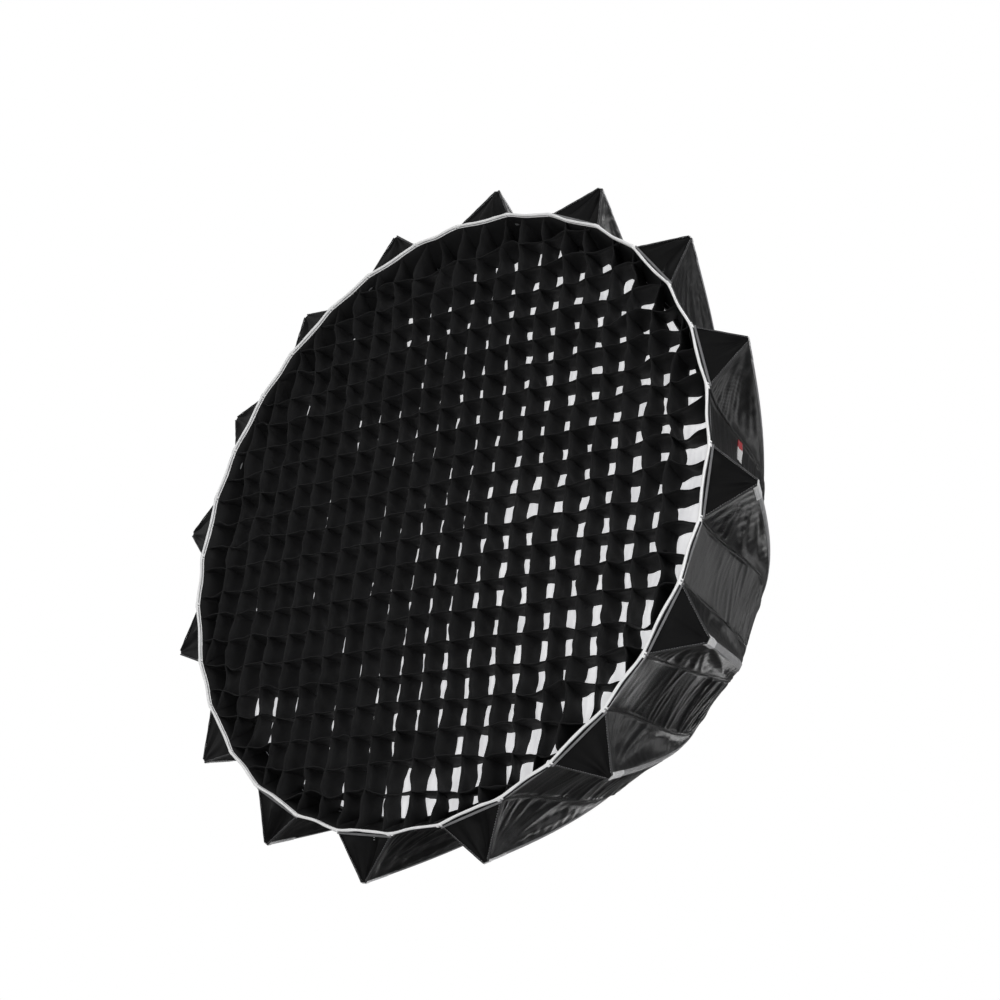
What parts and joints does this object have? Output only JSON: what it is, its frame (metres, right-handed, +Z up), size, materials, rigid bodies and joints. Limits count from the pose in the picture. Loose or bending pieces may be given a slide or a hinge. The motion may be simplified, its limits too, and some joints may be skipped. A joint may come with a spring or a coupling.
{
  "type": "octabox",
  "caption": "Folding deep parabolic softbox on a round bayonet speed ring, with spiked rod tips, white front diffuser and black fabric egg-crate grid.",
  "frame": {"origin": "centre of the bayonet insert's rear seat, on the light's axis", "axes": "+Y along the light's axis back towards the lamp, the lit front faces -Y; +Z up along rod 1; +X to the right as seen from the front"},
  "size_m": [1.5064, 0.9348, 1.5064],
  "materials": {
    "black_nylon": "satin black nylon outside, silver coating inside",
    "rod_black": "black pultruded glass fibre rod",
    "hub_plastic": "fine grained black glass-filled nylon",
    "silver_metal": "turned and clear anodised",
    "spring_steel": "bright drawn wire",
    "screw_steel": "black oxide",
    "control_red": "satin red moulded",
    "knob_rubber": "matt overmould",
    "white_diffuser": "matt white diffusion cloth",
    "grid_black": "matt black woven strips",
    "white_piping": "white reflective-grey piping"
  },
  "bodies": {
    "mount": {"bayonet_insert": "silver_metal", "retaining_nut": "silver_metal"},
    "hub": {"hub_ring": "hub_plastic", "hub_cap": "hub_plastic", "hinge_wire": "spring_steel", "cap_screw_1": "screw_steel", "cap_screw_2": "screw_steel", "cap_screw_3": "screw_steel", "cap_screw_4": "screw_steel"},
    "lock_knob": {"lock_knob": "knob_rubber"},
    "release_button_right": {"release_button_right": "control_red"},
    "release_button_left": {"release_button_left": "control_red"},
    "diffuser": {"front_diffuser": "white_diffuser", "diffuser_hem": "black_nylon"},
    "grid": {"light_grid": "grid_black", "grid_piping": "white_piping"},
    "rib_01": {"rod_01": "rod_black", "panel_01": "black_nylon"},
    "rib_02": {"rod_02": "rod_black", "panel_02": "black_nylon"},
    "rib_03": {"rod_03": "rod_black", "panel_03": "black_nylon"},
    "rib_04": {"rod_04": "rod_black", "panel_04": "black_nylon"},
    "rib_05": {"rod_05": "rod_black", "panel_05": "black_nylon"},
    "rib_06": {"rod_06": "rod_black", "panel_06": "black_nylon"},
    "rib_07": {"rod_07": "rod_black", "panel_07": "black_nylon"},
    "rib_08": {"rod_08": "rod_black", "panel_08": "black_nylon"},
    "rib_09": {"rod_09": "rod_black", "panel_09": "black_nylon"},
    "rib_10": {"rod_10": "rod_black", "panel_10": "black_nylon"},
    "rib_11": {"rod_11": "rod_black", "panel_11": "black_nylon"},
    "rib_12": {"rod_12": "rod_black", "panel_12": "black_nylon"},
    "rib_13": {"rod_13": "rod_black", "panel_13": "black_nylon"},
    "rib_14": {"rod_14": "rod_black", "panel_14": "black_nylon"},
    "rib_15": {"rod_15": "rod_black", "panel_15": "black_nylon"},
    "rib_16": {"rod_16": "rod_black", "panel_16": "black_nylon"}
  },
  "joints": [
    {"name": "ring_rotation", "type": "hinge", "parent": "mount", "child": "hub", "pos_m": [0, -0.02, 0], "axis": [0, 1, 0], "continuous": true},
    {"name": "rib_fold_01", "type": "hinge", "parent": "hub", "child": "rib_01", "pos_m": [0, -0.034, 0.105], "axis": [1, 0, 0], "range_deg": [0, 40], "deforming": ["panel_01", "light_grid", "grid_piping", "front_diffuser", "diffuser_hem"]},
    {"name": "rib_fold_02", "type": "hinge", "parent": "hub", "child": "rib_02", "pos_m": [0.04018, -0.034, 0.09701], "axis": [0.9239, 0, -0.3827], "range_deg": [0, 40], "deforming": ["panel_02"]},
    {"name": "rib_fold_03", "type": "hinge", "parent": "hub", "child": "rib_03", "pos_m": [0.07425, -0.034, 0.07425], "axis": [0.7071, 0, -0.7071], "range_deg": [0, 40], "deforming": ["panel_03"]},
    {"name": "rib_fold_04", "type": "hinge", "parent": "hub", "child": "rib_04", "pos_m": [0.09701, -0.034, 0.04018], "axis": [0.3827, 0, -0.9239], "range_deg": [0, 40], "deforming": ["panel_04"]},
    {"name": "rib_fold_05", "type": "hinge", "parent": "hub", "child": "rib_05", "pos_m": [0.105, -0.034, 0], "axis": [0, 0, -1], "range_deg": [0, 40], "deforming": ["panel_05"]},
    {"name": "rib_fold_06", "type": "hinge", "parent": "hub", "child": "rib_06", "pos_m": [0.09701, -0.034, -0.04018], "axis": [-0.3827, 0, -0.9239], "range_deg": [0, 40], "deforming": ["panel_06"]},
    {"name": "rib_fold_07", "type": "hinge", "parent": "hub", "child": "rib_07", "pos_m": [0.07425, -0.034, -0.07425], "axis": [-0.7071, 0, -0.7071], "range_deg": [0, 40], "deforming": ["panel_07"]},
    {"name": "rib_fold_08", "type": "hinge", "parent": "hub", "child": "rib_08", "pos_m": [0.04018, -0.034, -0.09701], "axis": [-0.9239, 0, -0.3827], "range_deg": [0, 40], "deforming": ["panel_08"]},
    {"name": "rib_fold_09", "type": "hinge", "parent": "hub", "child": "rib_09", "pos_m": [0, -0.034, -0.105], "axis": [-1, 0, 0], "range_deg": [0, 40], "deforming": ["panel_09"]},
    {"name": "rib_fold_10", "type": "hinge", "parent": "hub", "child": "rib_10", "pos_m": [-0.04018, -0.034, -0.09701], "axis": [-0.9239, 0, 0.3827], "range_deg": [0, 40], "deforming": ["panel_10"]},
    {"name": "rib_fold_11", "type": "hinge", "parent": "hub", "child": "rib_11", "pos_m": [-0.07425, -0.034, -0.07425], "axis": [-0.7071, 0, 0.7071], "range_deg": [0, 40], "deforming": ["panel_11"]},
    {"name": "rib_fold_12", "type": "hinge", "parent": "hub", "child": "rib_12", "pos_m": [-0.09701, -0.034, -0.04018], "axis": [-0.3827, 0, 0.9239], "range_deg": [0, 40], "deforming": ["panel_12"]},
    {"name": "rib_fold_13", "type": "hinge", "parent": "hub", "child": "rib_13", "pos_m": [-0.105, -0.034, 0], "axis": [0, 0, 1], "range_deg": [0, 40], "deforming": ["panel_13"]},
    {"name": "rib_fold_14", "type": "hinge", "parent": "hub", "child": "rib_14", "pos_m": [-0.09701, -0.034, 0.04018], "axis": [0.3827, 0, 0.9239], "range_deg": [0, 40], "deforming": ["panel_14"]},
    {"name": "rib_fold_15", "type": "hinge", "parent": "hub", "child": "rib_15", "pos_m": [-0.07425, -0.034, 0.07425], "axis": [0.7071, 0, 0.7071], "range_deg": [0, 40], "deforming": ["panel_15"]},
    {"name": "rib_fold_16", "type": "hinge", "parent": "hub", "child": "rib_16", "pos_m": [-0.04018, -0.034, 0.09701], "axis": [0.9239, 0, 0.3827], "range_deg": [0, 40], "deforming": ["panel_16"]},
    {"name": "knob_turn", "type": "hinge", "parent": "hub", "child": "lock_knob", "pos_m": [0.02731, -0.015, -0.13731], "axis": [0.1951, 0, -0.9808], "range_deg": [0, 360]},
    {"name": "release_press_right", "type": "slide", "parent": "hub", "child": "release_button_right", "axis": [-0.9808, 0, -0.1951], "range_m": [0, 0.004], "stiffness_N_per_m": 800},
    {"name": "release_press_left", "type": "slide", "parent": "hub", "child": "release_button_left", "axis": [0.9808, 0, 0.1951], "range_m": [0, 0.004], "stiffness_N_per_m": 800},
    {"name": "diffuser_lift", "type": "slide", "parent": "hub", "child": "diffuser", "axis": [0, -1, 0], "range_m": [0, 0.25]},
    {"name": "grid_lift", "type": "slide", "parent": "diffuser", "child": "grid", "axis": [0, -1, 0], "range_m": [0, 0.25]}
  ],
  "couplings": [
    {"joint": "rib_fold_02", "follows": "rib_fold_01", "ratio": 1},
    {"joint": "rib_fold_03", "follows": "rib_fold_01", "ratio": 1},
    {"joint": "rib_fold_04", "follows": "rib_fold_01", "ratio": 1},
    {"joint": "rib_fold_05", "follows": "rib_fold_01", "ratio": 1},
    {"joint": "rib_fold_06", "follows": "rib_fold_01", "ratio": 1},
    {"joint": "rib_fold_07", "follows": "rib_fold_01", "ratio": 1},
    {"joint": "rib_fold_08", "follows": "rib_fold_01", "ratio": 1},
    {"joint": "rib_fold_09", "follows": "rib_fold_01", "ratio": 1},
    {"joint": "rib_fold_10", "follows": "rib_fold_01", "ratio": 1},
    {"joint": "rib_fold_11", "follows": "rib_fold_01", "ratio": 1},
    {"joint": "rib_fold_12", "follows": "rib_fold_01", "ratio": 1},
    {"joint": "rib_fold_13", "follows": "rib_fold_01", "ratio": 1},
    {"joint": "rib_fold_14", "follows": "rib_fold_01", "ratio": 1},
    {"joint": "rib_fold_15", "follows": "rib_fold_01", "ratio": 1},
    {"joint": "rib_fold_16", "follows": "rib_fold_01", "ratio": 1}
  ]
}
